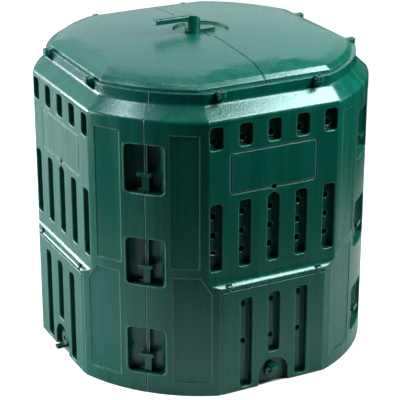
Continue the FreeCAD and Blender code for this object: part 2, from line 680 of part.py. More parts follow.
# Windows in the ledge with a bar in each, for the eyes of the door
windows, hinge_bars = [], []
for end, sign in ENDS:
    place = "%d*door_hinge_place" % sign
    windows.append(block("window_" + end, (place + "-window_wide/2", place + "+window_wide/2"),
                         ("-(door_reach+beyond)", "-(door_axis_reach-eye_radius-1)"),
                         ("ledge_foot-1", "door_axis_rise+eye_radius+1")))
    hinge_bars.append(rod("hinge_bar_" + end, "door_pin", "window_wide+2",
                          (place + "-window_wide/2-1", "-door_axis_reach", "door_axis_rise"), "x"))

# Brackets on the neck: open cups with a bore through both cheeks


def cup(name, sign, skin, width, top):
    points = [
        ("-(neck_reach-1)", top),
        ("-(neck_reach+bracket_out-(%s))" % skin, top),
        ("-(neck_reach+bracket_out-(%s))" % skin, "bracket_top-bracket_lip-(%s)/2" % skin),
        ("-(neck_reach-1)", "bracket_foot+2*(%s)" % skin),
    ]
    body = padded("%s_%s" % (name, "right" if sign > 0 else "left"), "YZ_Plane", points, width)
    body.setExpression("Placement.Base.x", formula("%d*bracket_place" % sign))
    return body


brackets, bracket_hollows, bracket_bores = [], [], []
for end, sign in ENDS:
    brackets.append(cup("bracket", sign, "0", "bracket_wide", "bracket_top"))
    hollow = cup("bracket_room", sign, "bracket_skin", "bracket_wide-2*bracket_skin", "bracket_top+beyond")
    bracket_hollows.append(cut("bracket_hollow_" + end, hollow, [block(
        "neck_keep_" + end, ("-corner_reach", "corner_reach"), ("-neck_reach", "0"),
        ("bracket_foot-beyond", "rim_rise"))]))
    bracket_bores.append(rod("bracket_bore_" + end, "pin_radius+pin_play", "bracket_wide+2",
                             ("%d*bracket_place-bracket_wide/2-1" % sign, "-(neck_reach+lid_axis_out)",
                              "lid_axis_rise"), "x"))

# One wall panel, then its four places
backed = fuse("wall_backed", [quarter_skin, frame_tray] + slot_backs + brackets + [
    common("quarter_back_" + end, [group("seam_back_" + end, [seam_back], seams[end]), wedge]) for end, sign in ENDS])
hollowed = cut("wall_hollowed", backed, slot_hollows + slot_holes + wing_panels + windows + bracket_hollows
               + bracket_bores + [field_groove, field_hole, rebate, doorway, swing_room]
               + [group("seam_hollow_" + end, [seam_hollow], seams[end]) for end, sign in ENDS])


def mouths(name, source, reach, places):
    """Round the mouths of a row of slots in a face."""
    half = number("slot_width/2+slot_mouth")
    peaked = number("slot_peak")
    spots = [(number(place), number(low), number(top)) for place, low, top, *rest in places]
    face = -number(reach)

    def chosen(edge):
        middle = edge.CenterOfMass
        return level_at(edge, face) and any(
            abs(middle.x - place) < half and low - NEAR < middle.z < top + peaked for place, low, top in spots)

    return eased(name, source, "slot_mouth", chosen)


softened = mouths("wall_softened", hollowed, "face_reach", wall_slots)
wall = fuse("wall_panel", [softened] + hinge_bars + [
    common("quarter_rail_" + end, [group("seam_rail_" + end, [seam_rail], seams[end]), wedge]) for end, sign in ENDS])
for side, angle in SIDES:
    sub_part("wall_" + side, wall, turned(angle))

# Clip: a channel that slides down over the rails of two panels, with a thumb tab
rail_front = "%s+rib_stand" % pocket_floor
clip_back = "%s-rail_thick-clip_play-clip_wall" % rail_front
clip_front = "%s+clip_play+clip_wall" % rail_front
clip_half = "rib_thick+rail_wing+clip_play+clip_wall"
tab_front = clip_front + "+tab_reach"
clip_channel = block("clip_channel", (clip_back, clip_front), ("-(%s)" % clip_half, clip_half), ("1", "rail_tall+1"))
clip_tab = block("clip_tab", (clip_back, tab_front), ("-tab_wide/2", "tab_wide/2"),
                 ("rail_tall+1", "rail_tall+1+tab_thick"))
clip_lip = block("clip_lip", (tab_front + "-tab_lip", tab_front), ("-tab_wide/2", "tab_wide/2"),
                 ("rail_tall+1", "rail_tall+1+tab_thick+tab_lip"))
clip_neck = block("clip_neck", (clip_back + "-beyond", rail_front + "+clip_play"),
                  ("-(rib_thick+clip_play)", "rib_thick+clip_play"), ("-beyond", "rail_tall+tab_thick+beyond"))
clip_head = block("clip_head", ("%s-rail_thick-clip_play" % rail_front, rail_front + "+clip_play"),
                  ("-(rib_thick+rail_wing+clip_play)", "rib_thick+rail_wing+clip_play"), ("-beyond", "rail_tall+1"))
clip = cut("clip", fuse("clip_solid", [clip_channel, clip_tab, clip_lip]), [clip_neck, clip_head])
for side, angle in SIDES:
    for row, count in ROWS:
        rise = number("pocket_low+%d*pocket_pitch" % count)
        sub_part("clip_%s_%s" % (side, row), clip, turned(angle - 45, rise))

# Door: a skin with edge flanges, slots and a latch niche, hung by two eyes
door_half = "doorway_half-door_gap"
door_skin = block("door_skin_block", ("-(%s)" % door_half, door_half), ("-(door_reach+1)", "-(door_reach-wall_thick)"),
                  ("door_low", "door_top"))
flanges = [block("door_flange_" + end,
                 ("%d*(%s)-%s" % (sign, door_half, "wall_thick" if sign > 0 else "0"),
                  "%d*(%s)+%s" % (sign, door_half, "0" if sign > 0 else "wall_thick")),
                 ("-(door_reach-1)", "-(frame_reach+door_gap)"), ("door_low", "opening_top-2")) for end, sign in ENDS]
door_slots = []
for step in (-1, 0, 1):
    low = "door_slot_low" if step else "middle_slot_low"
    door_slots.append(("(%d*slot_pitch)" % step, low, "door_slot_top", "slot_width",
                       (0.09, 0.51) if step else (0.15, 0.77), "door_hole"))
door_backs, door_hollows, door_holes = slots("door_slot", "door_reach", door_slots)


def niche(name, grow, deep, shallow):
    """Arched block, open at the floor."""
    half = "arch_half+(%s)" % grow
    y = ("-(%s)" % shallow, "-(%s)" % deep)
    foot = "door_low" if grow != "0" else "-beyond"
    side = block(name + "_side", ("-(%s)" % half, half), y, (foot, "arch_rise"))
    crown = rod(name + "_crown", half, "(%s)-(%s)" % (shallow, deep), ("0", y[0], "arch_rise"), "y")
    return common(name + "_whole", [fuse(name, [side, crown]), block(
        name + "_room", ("-corner_reach", "corner_reach"), ("-2*corner_reach", "0"), (foot, "door_top"))])


niche_floor = "door_reach-arch_depth"
niche_back = niche("niche_back", "arch_skin", niche_floor + "-arch_skin", "door_reach-1")
niche_hollow = niche("niche_hollow", "0", niche_floor, "door_reach+beyond")
knob_bore = rod("knob_bore", "spindle_radius+pin_play", "2*beyond", ("0", "-(%s+beyond)" % niche_floor, "knob_rise"), "y")
eyes, eye_bores = [], []
for end, sign in ENDS:
    low = "%d*door_hinge_place-eye_wide/2" % sign
    eyes.append(rod("eye_" + end, "eye_radius", "eye_wide", (low, "-door_axis_reach", "door_axis_rise"), "x"))
    eyes.append(block("eye_stem_" + end, (low, low + "+eye_wide"),
                      ("-(door_axis_reach+door_pin)", "-(door_axis_reach-eye_radius+1)"),
                      ("door_top-2", "door_axis_rise")))
    eye_bores.append(rod("eye_bore_" + end, "door_pin+pin_play", "eye_wide+2",
                         (low + "-1", "-door_axis_reach", "door_axis_rise"), "x"))
door_body = common("door_body", [outside, fuse("door_raw", [door_skin, niche_back] + flanges + door_backs)])
door_hollowed = mouths("door_softened", cut("door_hollowed", door_body, door_hollows + door_holes + [niche_hollow]),
                       "door_reach", door_slots)


def door_brow(edge):
    """Whether an edge is the upper front edge of a door."""
    middle = edge.CenterOfMass
    return level_at(edge, -number("door_reach")) and abs(middle.z - number("door_top")) < NEAR


door = cut("door", fuse("door_hung", [eased("door_eased", door_hollowed, "door_edge", door_brow)] + eyes),
           eye_bores + [knob_bore])
for side, angle in SIDES:
    sub_part("door_" + side, door, turned(angle))

# Latch: knob with finger lever and spindle in front, cam and screw behind
knob_back = niche_floor + "+knob_gap"
cam_front = "frame_reach-frame_thick-cam_gap"
cam_back = cam_front + "-cam_thick"
knob_head = rod("knob_head", "knob_radius", "knob_tall", ("0", "-(%s+knob_tall)" % knob_back, "knob_rise"), "y")
spindle = rod("spindle", "spindle_radius", "(%s+1)-(%s)" % (knob_back, cam_front),
              ("0", "-(%s+1)" % knob_back, "knob_rise"), "y")
square_end = block("square_end", ("-square_half", "square_half"), ("-(%s+1)" % cam_front, "-(%s)" % cam_back),
                   ("knob_rise-square_half", "knob_rise+square_half"))
lever = block("lever", ("-lever_wide/2", "lever_wide/2"), ("-(%s+lever_reach)" % knob_back, "-(%s)" % knob_back),
              ("knob_rise+lever_low", "knob_rise+lever_low+lever_thick"), "lever_thick/4")
bean = [rod("finger_hole_" + end, radius, "bean_depth+beyond",
            ("%d*bean_half-1" % sign, "-(%s+knob_tall+beyond)" % knob_back, "knob_rise"), "y")
        for (end, sign), radius in zip(ENDS, ("bean_narrow", "bean_wide"))]
screw_hole = rod("screw_hole", "screw_radius+pin_play", "screw_bite+beyond",
                 ("0", "-(%s+screw_bite)" % cam_back, "knob_rise"), "y")
knob = cut("knob", fuse("knob_solid", [knob_head, spindle, square_end, lever]), bean + [screw_hole])
cam_blank = block("cam_blank", ("-cam_wide/2-2", "cam_reach"), ("-(%s)" % cam_front, "-(%s)" % cam_back),
                  ("knob_rise-cam_wide/2", "knob_rise+cam_wide/2"), "cam_wide/4")
cam_hole = block("cam_hole", ("-(square_half+pin_play)", "square_half+pin_play"),
                 ("-(%s+1)" % cam_front, "-(%s-1)" % cam_back),
                 ("knob_rise-square_half-pin_play", "knob_rise+square_half+pin_play"))
cam = cut("cam", cam_blank, [cam_hole])
screw = fuse("screw", [
    rod("screw_head", "screw_head", "screw_head_tall", ("0", "-(%s)" % cam_back, "knob_rise"), "y"),
    rod("screw_shank", "screw_radius", "screw_bite", ("0", "-(%s+screw_bite-1)" % cam_back, "knob_rise"), "y")])
knob_turns = {"front": -number("knob_tilt"), "right": 0, "back": 0, "left": 180}
for side, angle in SIDES:
    axis = FreeCAD.Rotation(FreeCAD.Vector(0, 1, 0), knob_turns[side])
    about = FreeCAD.Placement(FreeCAD.Vector(0, 0, 0), axis, FreeCAD.Vector(0, 0, number("knob_rise")))
    for name, source in (("latch_knob_", knob), ("latch_cam_", cam), ("latch_screw_", screw)):
        sub_part(name + side, source, turned(angle) * about)

# Lid: a dome between four straight bevels, hollow below, split in two leaves


strip_foot = "(%s)-edge_strip_drop"
strip_top = "(%s)+edge_strip_wide*%s"
dome_slope = "dome_edge_lift/dome_set"


def bevel_section(reach, skin, low, edge):
    """Section of the lid between two straight edges: a flat between two bevels, each with a
    slanted strip along its edge."""
    side = "(%s-(%s))" % (reach, skin)
    run = "(%s/2)" % reach
    crest = "%s+%s*lid_slope" % (edge, run)
    foot, shoulder = strip_foot % edge, strip_top % (edge, "lid_slope")
    return [("-" + side, low), ("-" + side, foot), ("edge_strip_wide-" + side, shoulder),
            ("%s-%s" % (run, side), crest), ("%s-%s" % (side, run), crest),
            (side + "-edge_strip_wide", shoulder), (side, foot), (side, low)]


def lid_solid(name, skin, low):
    """Lid set in by a skin."""
    edge = "lid_low+lid_edge-(%s)" % skin
    along_x = padded(name + "_along_x", "YZ_Plane", bevel_section("lid_reach", skin, low, edge), "2*corner_reach")
    along_y = padded(name + "_along_y", "XZ_Plane", bevel_section("lid_side_reach", skin, low, edge),
                     "2*corner_reach")
    side = "(lid_corner-(%s))" % skin
    foot, shoulder = strip_foot % edge, strip_top % (edge, dome_slope)
    dome = revolved(name + "_dome", [
        ("0", low), (side, low), (side, foot), (side + "-edge_strip_wide", shoulder),
        ("dome_radius", "dome_edge_rise-(%s)" % skin), ("0", "dome_rise-(%s)" % skin)], 4)
    if skin == "0":
        for body, rise in ((along_x, "lid_slope"), (along_y, "lid_slope"), (dome, dome_slope)):
            bent(body, "edge_bend", [foot, strip_top % (edge, rise)])
    return common(name, [along_x, along_y, dome])


lid_outside = lid_solid("lid_outside", "0", "lid_low")
lid_inside = lid_solid("lid_inside", "lid_skin", "lid_low-beyond")
well_cup = rod("well_cup", "well_radius+lid_skin", "2*beyond", ("0", "0", "well_floor-lid_skin"), "z")
well = rod("well", "well_radius", "3*beyond", ("0", "0", "well_floor"), "z")
split_rib = block("split_rib_block", ("-(split_gap/2+split_rib)", "split_gap/2+split_rib"),
                  ("-(lid_reach-lid_skin/2)", "lid_reach-lid_skin/2"), ("split_rib_low", "dome_rise"))
lid_ribs = common("lid_ribs", [lid_outside, fuse("lid_backing", [split_rib, well_cup])])
lid_shell = cut("lid_shell", fuse("lid_ribbed", [cut("lid_skin_solid", lid_outside, [lid_inside]), lid_ribs]), [well])

# Landing of the tongue: a tongue of the left leaf that fills a notch of the right leaf
landing_end = "tongue_reach-post_place+landing_extra"
landing_half = "tongue_wide/2+landing_extra"
well_skin = ("well_floor-lid_skin", "well_floor")
landing = block("landing", ("-split_gap", landing_end), ("-(%s)" % landing_half, landing_half), well_skin)
notch = block("notch", ("-split_gap", landing_end + "+landing_play"),
              ("-(%s+landing_play)" % landing_half, landing_half + "+landing_play"),
              ("split_rib_low-1", "well_floor+1"))
shaft_bore = rod("shaft_bore", "shaft_radius+pin_play", "3*beyond", ("-post_place", "0", "well_floor-beyond"), "z")
lug_axis = "neck_reach+lid_axis_out"
lug_low = "rim_rise+lug_gap"


def leaf(name, sign):
    """One half of the lid with two hinge lugs on its straight edge."""
    near, far = "%d*split_gap/2" % sign, "%d*corner_reach" % sign
    half = block(name + "_half", (near, far) if sign > 0 else (far, near), ("-corner_reach", "corner_reach"),
                 ("lid_axis_rise-beyond", "dome_rise+beyond"))
    pieces = [common(name + "_shell", [lid_shell, half])]
    bores = []
    for end, place in ENDS:
        start = "%d*bracket_place-lug_wide/2" % place
        inner, outer = "%d*(lid_side_reach-lid_skin+1)" % sign, "%d*(%s)" % (sign, lug_axis)
        pieces.append(block("%s_lug_%s" % (name, end), (inner, outer) if sign > 0 else (outer, inner),
                            (start, start + "+lug_wide"), (lug_low, lug_low + "+lug_thick")))
        pieces.append(rod("%s_boss_%s" % (name, end), "lug_boss", "lug_wide", (outer, start, "lid_axis_rise"), "y"))
        bores.append(rod("%s_bore_%s" % (name, end), "pin_radius+pin_play", "lug_wide+2",
                         (outer, start + "-1", "lid_axis_rise"), "y"))
    return pieces, bores


left_pieces, left_bores = leaf("left_leaf", -1)
right_pieces, right_bores = leaf("right_leaf", 1)
sub_part("lid_left", cut("left_leaf", fuse("left_leaf_solid", left_pieces + [landing]), left_bores + [shaft_bore]))
sub_part("lid_right", cut("right_leaf", fuse("right_leaf_solid", right_pieces), right_bores + [notch]))
for side, angle in (("right", 90), ("left", 270)):
    for end, sign in ENDS:
        name = "%s_%s" % (side, "front" if sign * (180 - angle) < 0 else "rear")
        start = "%d*bracket_place-bracket_wide/2" % sign
        head_start = start + ("+bracket_wide" if sign > 0 else "-pin_head_tall")
        axis_place = ("-(%s)" % lug_axis, "lid_axis_rise")
        sub_part("lid_pin_" + name, fuse("pin_" + name, [
            rod("pin_shank_" + name, "pin_radius", "bracket_wide", (start,) + axis_place, "x"),
            rod("pin_head_" + name, "pin_head", "pin_head_tall", (head_start,) + axis_place, "x")]), turned(angle))

# Handle: a post with a grip arm over the left leaf and a tongue over the landing
tongue_low = "well_floor+tongue_play"
grip_top = "grip_low+grip_tall"
post = common("post", [
    rod("post_round", "post_radius", "%s-(%s)" % (grip_top, tongue_low), ("-post_place", "0", tongue_low), "z"),
    block("post_elbow", ("-post_place-2*elbow_radius", "-post_place+post_radius"), ("-post_radius", "post_radius"),
          ("%s-2*elbow_radius" % tongue_low, grip_top), "elbow_radius")])
grip = block("grip", ("-(post_place+grip_reach)", "-post_place"), ("-grip_wide/2", "grip_wide/2"),
             ("grip_low", grip_top), "grip_tall/3", "x")
tongue = block("tongue", ("-post_place", "tongue_reach-post_place"), ("-tongue_wide/2", "tongue_wide/2"),
               (tongue_low, tongue_low + "+tongue_tall"), "tongue_wide/5", "z")
shaft = rod("shaft", "shaft_radius", "shaft_tail+lid_skin", ("-post_place", "0", "well_floor-lid_skin-shaft_tail+1"), "z")
sub_part("lid_handle", fuse("handle", [post, grip, tongue, shaft]))
collar_top = "well_floor-lid_skin-tongue_play"
collar = cut("collar", rod("collar_blank", "collar_radius", "collar_tall",
                           ("-post_place", "0", collar_top + "-collar_tall"), "z"), [
    rod("collar_bore", "shaft_radius+pin_play", "2*beyond", ("-post_place", "0", collar_top + "-beyond"), "z")])
sub_part("handle_collar", collar)

doc.recompute()
for thing in doc.Objects:
    if "Invalid" in thing.State or "Error" in thing.State:
        raise RuntimeError("not built: " + thing.Name)
os.makedirs("parts", exist_ok=True)
for piece in sub_parts:
    shape = piece.Shape
    if shape.isNull() or not shape.isValid() or not shape.Solids:
        raise RuntimeError("bad shape: " + piece.Label)
    shape.exportStep("parts/%s.step" % piece.Label)
    print("%-22s %2d solid %9.1f cm3" % (piece.Label, len(shape.Solids), shape.Volume / 1000))
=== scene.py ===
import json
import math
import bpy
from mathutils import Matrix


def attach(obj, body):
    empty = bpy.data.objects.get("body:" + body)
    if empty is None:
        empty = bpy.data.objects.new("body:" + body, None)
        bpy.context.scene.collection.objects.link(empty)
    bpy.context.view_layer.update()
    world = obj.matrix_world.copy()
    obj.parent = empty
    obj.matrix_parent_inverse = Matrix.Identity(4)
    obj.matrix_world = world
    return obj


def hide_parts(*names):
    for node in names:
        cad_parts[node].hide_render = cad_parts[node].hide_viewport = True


bl_info = {
    "name": "Compost bin",
    "version": (1, 0, 0),
    "blender": (4, 5, 0),
    "location": "3D View > Sidebar > Compost bin",
    "description": "Dresses the compost bin: moulded green walls, hatches, latches and lid",
    "category": "Object",
}

import bmesh
import bpy
from mathutils import Matrix, Vector

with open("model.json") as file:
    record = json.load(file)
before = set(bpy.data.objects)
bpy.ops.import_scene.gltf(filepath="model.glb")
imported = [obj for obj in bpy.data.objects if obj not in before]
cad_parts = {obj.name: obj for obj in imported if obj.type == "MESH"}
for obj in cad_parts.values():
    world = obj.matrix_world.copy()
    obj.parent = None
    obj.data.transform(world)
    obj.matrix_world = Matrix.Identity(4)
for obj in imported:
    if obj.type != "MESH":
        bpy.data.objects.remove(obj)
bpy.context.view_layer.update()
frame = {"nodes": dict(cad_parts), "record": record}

SIDES = ("front", "right", "back", "left")
ROWS = ("lower", "middle", "upper")

BLACK = (0, 0, 0, 1)
WHITE = (1, 1, 1, 1)

# Moulded plastic. A pair of numbers is where a soft step starts and ends.
STREAK_SCALE = (40, 40, 2)
STREAK_STEP = (0.25, 0.75)
STREAK_MIDDLE = 0.5
STREAK_ROUGHNESS = 0.2
WARP_SCALE = 9.0
WARP_DEPTH = 0.0004
BEVEL_SAMPLES = 6
# The edge highlight is painted: rounded edges of faces that do not look up get a paler colour.
HIGHLIGHT_REACH = 1.5
HIGHLIGHT_BEND = (0.998, 0.94)
HIGHLIGHT_UPRIGHT = (0.9, 0.5)
# Small parts get this share of the flow streaks and of the painted edge highlight.
SMALL_STREAKS_AND_HIGHLIGHT = 0.3
# Painted shade: deep slots and pockets, found by ambient occlusion, go towards black and lose their
# coat.
HOLLOW_SHADE_REACH = 0.07
HOLLOW_SHADE_STEP = (0.6, 0.1)
HOLLOW_ROUGHNESS = 0.6
AIR_SAMPLES = 8
COAT = 0.3
COAT_ROUGHNESS = 0.2
GLOSS_TINT = (0.75, 1, 1, 1)

# Zinc on the screws
ZINC = (0.55, 0.55, 0.57, 1)
ZINC_ROUGHNESS = 0.25
ZINC_SPREAD = 0.2
TURNING_SCALE = 900.0
TURNING_DEPTH = 0.0001
TURNING_STRENGTH = 0.4

# Meshes: welding, joining of level faces, and the edges of small parts
WELD = 2e-6
LEVEL = math.radians(0.7)
CREASE = 30
LID_CREASE = 24
EDGE_SEGMENTS = 3
CLIP_EDGE = 0.0008
KNOB_EDGE = 0.0009
HANDLE_EDGE = 0.0015
INNER_EDGE = 0.0006

# Floor: its size, the bin's footprint, the painted soft shadow round it and the colour of its dark part
# outside the painted pool of light
FLOOR_HALF = 15.0
FOOT_HALF = 0.366
FOOT_REACH = 0.388
SHADE = 0.86
SHADE_STEP = (0.45, 0.9)
DARK_FLOOR = (0.02, 0.02, 0.02, 1)

# Backdrop in the gloss: a wedge behind the bin that ends below the sky's middle
WEDGE = 0.8
WEDGE_STEP = (-0.1, 0.3)
WEDGE_TOP = (0.85, 0.6)

# Name, place, target, size and colour. The power is the stage setting of that name.
LAMPS = (
    ("key", (0.74, -0.82, 1.68), (0, -0.3, 0.5), (0.75, 0.42), (0.86, 1, 1)),
    ("top", (-1.35, 0, 2.1), (-0.35, -0.2, 0.6), (0.45, 0.45), (0.9, 1, 1)),
    ("side", (-3.1, 2.05, 0.7), (-0.3, 0, 0.4), (3, 1.6), (0.97, 0.9, 0.96)),
    ("over", (0, 0.1, 3), (0, 0, 0.5), (1, 1), (0.9, 1, 1)),
    ("right", (1.7, -0.9, 1.3), (0.35, -0.2, 0.4), (0.5, 0.5), (0.7, 1, 0.9)),
)
SENSOR = 36


# Settings that a user would change
class PlasticLook(bpy.types.PropertyGroup):
    green: bpy.props.FloatVectorProperty(
        name="Green", description="Colour of the moulded plastic", subtype="COLOR",
        size=4, min=0, max=1, default=(0.0, 0.082, 0.055, 1))
    streak: bpy.props.FloatVectorProperty(
        name="Streak", description="Colour of the paler flow streaks", subtype="COLOR",
        size=4, min=0, max=1, default=(0.0, 0.104, 0.072, 1))
    roughness: bpy.props.FloatProperty(
        name="Roughness", description="Roughness of the wall panels", default=0.27, min=0, max=1)
    small_roughness: bpy.props.FloatProperty(
        name="Small part roughness", description="Roughness of clips, latches and handle",
        default=0.25, min=0, max=1)
    grain: bpy.props.FloatProperty(
        name="Grain", description="Width of one grain of the mould texture",
        unit="LENGTH", default=0.004)
    grain_depth: bpy.props.FloatProperty(
        name="Grain depth", description="Depth of the mould texture",
        unit="LENGTH", default=0.0005)
    # Painted edge highlight: its colour and how much of it is laid on.
    rubbed: bpy.props.FloatVectorProperty(
        name="Rubbed", description="Colour of rubbed edges", subtype="COLOR",
        size=4, min=0, max=1, default=(0.2, 0.4, 0.37, 1))
    rub: bpy.props.FloatProperty(
        name="Rub", description="How far the edges are rubbed", default=0.6, min=0, max=1)
    # Painted shade: how far deep slots and pockets are darkened.
    hollow: bpy.props.FloatProperty(
        name="Hollow", description="How far deep slots and pockets darken",
        default=0.9, min=0, max=1)
    edge: bpy.props.FloatProperty(
        name="Edge", description="Rounding of the moulded edges in their shading",
        unit="LENGTH", default=0.0026)
    small_edge: bpy.props.FloatProperty(
        name="Small part edge", description="Rounding of the edges of small parts in their shading",
        unit="LENGTH", default=0.001)


class StageLook(bpy.types.PropertyGroup):
    azimuth: bpy.props.FloatProperty(
        name="Azimuth", description="Turn of the camera about the bin",
        subtype="ANGLE", default=math.radians(-26.8))
    elevation: bpy.props.FloatProperty(
        name="Elevation", description="Height angle of the camera",
        subtype="ANGLE", default=math.radians(22.3))
    distance: bpy.props.FloatProperty(
        name="Distance", description="Camera to the point it looks at",
        unit="LENGTH", default=3.787)
    aim: bpy.props.FloatProperty(
        name="Aim", description="Height of the point that the camera looks at",
        unit="LENGTH", default=0.324)
    lens: bpy.props.FloatProperty(
        name="Lens", description="Focal length for a 36 mm sensor", default=139.7)
    shift: bpy.props.FloatVectorProperty(
        name="Shift", description="Sideways and upward shift of the frame",
        size=2, default=(-0.0016, -0.0011))
    floor: bpy.props.FloatVectorProperty(
        name="Floor", description="Colour of the lit floor", subtype="COLOR",
        size=4, min=0, max=1, default=(0.6, 0.6, 0.6, 1))
    sky: bpy.props.FloatProperty(
        name="Sky", description="Strength of the light from all round", default=0.01)
    key: bpy.props.FloatProperty(
        name="Key", description="Power of the lamp above the front",
        unit="POWER", default=26)
    top: bpy.props.FloatProperty(
        name="Top", description="Power of the lamp above the left",
        unit="POWER", default=14)
    side: bpy.props.FloatProperty(
        name="Side", description="Power of the panel behind the left wall",
        unit="POWER", default=300)
    right: bpy.props.FloatProperty(
        name="Right", description="Power of the lamp beside the right corner",
        unit="POWER", default=15)
    over: bpy.props.FloatProperty(
        name="Over", description="Power of the panel straight above",
        unit="POWER", default=24)
    backdrop: bpy.props.FloatProperty(
        name="Backdrop", description="Brightness of the backdrop in the gloss", default=0.95)
    tint: bpy.props.FloatVectorProperty(
        name="Tint", description="Colour of the backdrop in the gloss", subtype="COLOR",
        size=4, min=0, max=1, default=(0.78, 0.98, 1, 1))
    lit_edge: bpy.props.FloatProperty(
        name="Lit edge", description="Where the lit floor ends towards the camera",
        unit="LENGTH", default=-0.75)
    lit_half: bpy.props.FloatProperty(
        name="Lit half", description="Half the width of the lit floor",
        unit="LENGTH", default=1.15)
    lit_blur: bpy.props.FloatProperty(
        name="Lit blur", description="Half the width of the border of the lit floor",
        unit="LENGTH", default=0.35)


# Shader maths
class Link:
    """A socket that a shader reads, with Python's operators as Math nodes."""

    def __init__(self, tree, socket):
        self.tree = tree
        self.socket = socket

    def maths(self, operation, *others):
        return node(self.tree, "ShaderNodeMath", {"operation": operation}, self, *others)

    def __add__(self, other):
        return self.maths("ADD", other)

    def __sub__(self, other):
        return self.maths("SUBTRACT", other)

    def __rsub__(self, other):
        return node(self.tree, "ShaderNodeMath", {"operation": "SUBTRACT"}, other, self)

    def __mul__(self, other):
        return self.maths("MULTIPLY", other)

    __radd__ = __add__
    __rmul__ = __mul__


def node(tree, kind, settings=None, *values, out=0, **named):
    """Adds a node, sets it up, feeds its sockets by place or by name and returns one output.
    A place whose value is None is left alone."""
    made = tree.nodes.new(kind)
    for name, value in (settings or {}).items():
        setattr(made, name, value)
    fed = list(zip(made.inputs, values))
    fed += [(made.inputs[name.replace("_", " ")], value) for name, value in named.items()]
    for socket, value in fed:
        if isinstance(value, Link):
            tree.links.new(value.socket, socket)
        elif value is not None:
            socket.default_value = value
    return Link(tree, made.outputs[out]) if made.outputs else made


def blank(name):
    """A material whose node tree is empty."""
    material = bpy.data.materials.new(name)
    material.use_nodes = True
    material.node_tree.nodes.clear()
    return material, material.node_tree


def mixed(tree, share, low, high):
    """A colour between two, by a share. The five sockets between are for numbers and vectors."""
    return node(tree, "ShaderNodeMix", {"data_type": "RGBA"}, share, *[None] * 5, low, high, out=2)


def part(tree, vector, axis):
    """One coordinate of a vector."""
    return node(tree, "ShaderNodeSeparateXYZ", None, vector, out=axis)


def smooth_step(tree, value, start, end):
    """0 up to the start, 1 from the end and a soft border between. The end may be the lower."""
    return node(tree, "ShaderNodeMapRange", {"interpolation_type": "SMOOTHSTEP"},
                value, start, end, 0.0, 1.0)


def seen_rays(tree):
    """Whether the camera sees a point straight, and whether gloss or glass does."""
    camera, glossy, clear = [node(tree, "ShaderNodeLightPath", out="Is %s Ray" % kind)
                             for kind in ("Camera", "Glossy", "Transmission")]
    return camera, glossy.maths("MAXIMUM", clear)


def moulded_plastic(name, roughness, edge, marks=1.0):
    """Green polyethylene: upright flow streaks, a fine mould grain, softly rounded edges with a
    painted highlight of paler colour on them, and painted shade that darkens deep hollows."""
    look = bpy.context.scene.bin_plastic
    material, tree = blank(name)
    place = node(tree, "ShaderNodeTexCoord", out="Object")
    drawn = node(tree, "ShaderNodeVectorMath", {"operation": "MULTIPLY"}, place, STREAK_SCALE)
    flow = node(tree, "ShaderNodeTexNoise", Vector=drawn, Scale=1.0, Detail=2.0)
    streaks = smooth_step(tree, flow, *STREAK_STEP) * marks
    colour = mixed(tree, streaks, tuple(look.green), tuple(look.streak))

    grain = node(tree, "ShaderNodeTexNoise", Vector=place, Scale=1 / look.grain, Detail=2.0)
    warp = node(tree, "ShaderNodeTexNoise", Vector=place, Scale=WARP_SCALE, Detail=1.0)
    height = grain * look.grain_depth + warp * WARP_DEPTH
    rounded = node(tree, "ShaderNodeBevel", {"samples": BEVEL_SAMPLES}, Radius=edge)
    bump = node(tree, "ShaderNodeBump", Strength=1.0, Distance=1.0, Height=height, Normal=rounded)

    level = node(tree, "ShaderNodeNewGeometry", out="Normal")
    # Painted highlight: a paler colour on rounded edges of faces that do not look up, scaled like the
    # streaks by marks.
    wide = node(tree, "ShaderNodeBevel", {"samples": BEVEL_SAMPLES}, Radius=edge * HIGHLIGHT_REACH)
    bend = node(tree, "ShaderNodeVectorMath", {"operation": "DOT_PRODUCT"}, wide, level, out="Value")
    upright = part(tree, node(tree, "ShaderNodeTexCoord", out="Normal"), "Z")
    edges = smooth_step(tree, bend, *HIGHLIGHT_BEND) * smooth_step(tree, upright, *HIGHLIGHT_UPRIGHT)
    colour = mixed(tree, edges * (look.rub * marks), colour, tuple(look.rubbed))

    # Painted shade: where ambient occlusion finds a deep hollow, the colour goes towards black, the coat
    # goes and the roughness rises.
    air = node(tree, "ShaderNodeAmbientOcclusion", {"samples": AIR_SAMPLES}, Distance=HOLLOW_SHADE_REACH,
               out="AO")
    hollow = smooth_step(tree, air, *HOLLOW_SHADE_STEP) * look.hollow
    dulling = (flow - STREAK_MIDDLE) * STREAK_ROUGHNESS + hollow * HOLLOW_ROUGHNESS
    surface = node(tree, "ShaderNodeBsdfPrincipled", Base_Color=mixed(tree, hollow, colour, BLACK),
                   Roughness=roughness + dulling, Normal=bump,
                   Coat_Weight=COAT - hollow * COAT, Coat_Roughness=COAT_ROUGHNESS,
                   Specular_Tint=GLOSS_TINT)
    node(tree, "ShaderNodeOutputMaterial", Surface=surface)
    return material


def screw_steel(name):
    """Zinc-plated steel with fine turning marks."""
    material, tree = blank(name)
    place = node(tree, "ShaderNodeTexCoord", out="Object")
    marks = node(tree, "ShaderNodeTexNoise", Vector=place, Scale=TURNING_SCALE, Detail=2.0)
    bump = node(tree, "ShaderNodeBump", Strength=TURNING_STRENGTH, Distance=TURNING_DEPTH, Height=marks)
    surface = node(tree, "ShaderNodeBsdfPrincipled", Base_Color=ZINC, Metallic=1.0,
                   Roughness=ZINC_ROUGHNESS + marks * ZINC_SPREAD, Normal=bump)
    node(tree, "ShaderNodeOutputMaterial", Surface=surface)
    return material


def finish_for(slot):
    """The material of a slot, made once."""
    look = bpy.context.scene.bin_plastic
    makers = {
        "green_plastic": lambda name: moulded_plastic(name, look.roughness, look.edge),
        "clip_plastic": lambda name: moulded_plastic(name, look.small_roughness, look.small_edge,
                                                     SMALL_STREAKS_AND_HIGHLIGHT),
        "screw_steel": screw_steel,
    }
    name = slot + "_finish"
    return bpy.data.materials.get(name) or makers[slot](name)


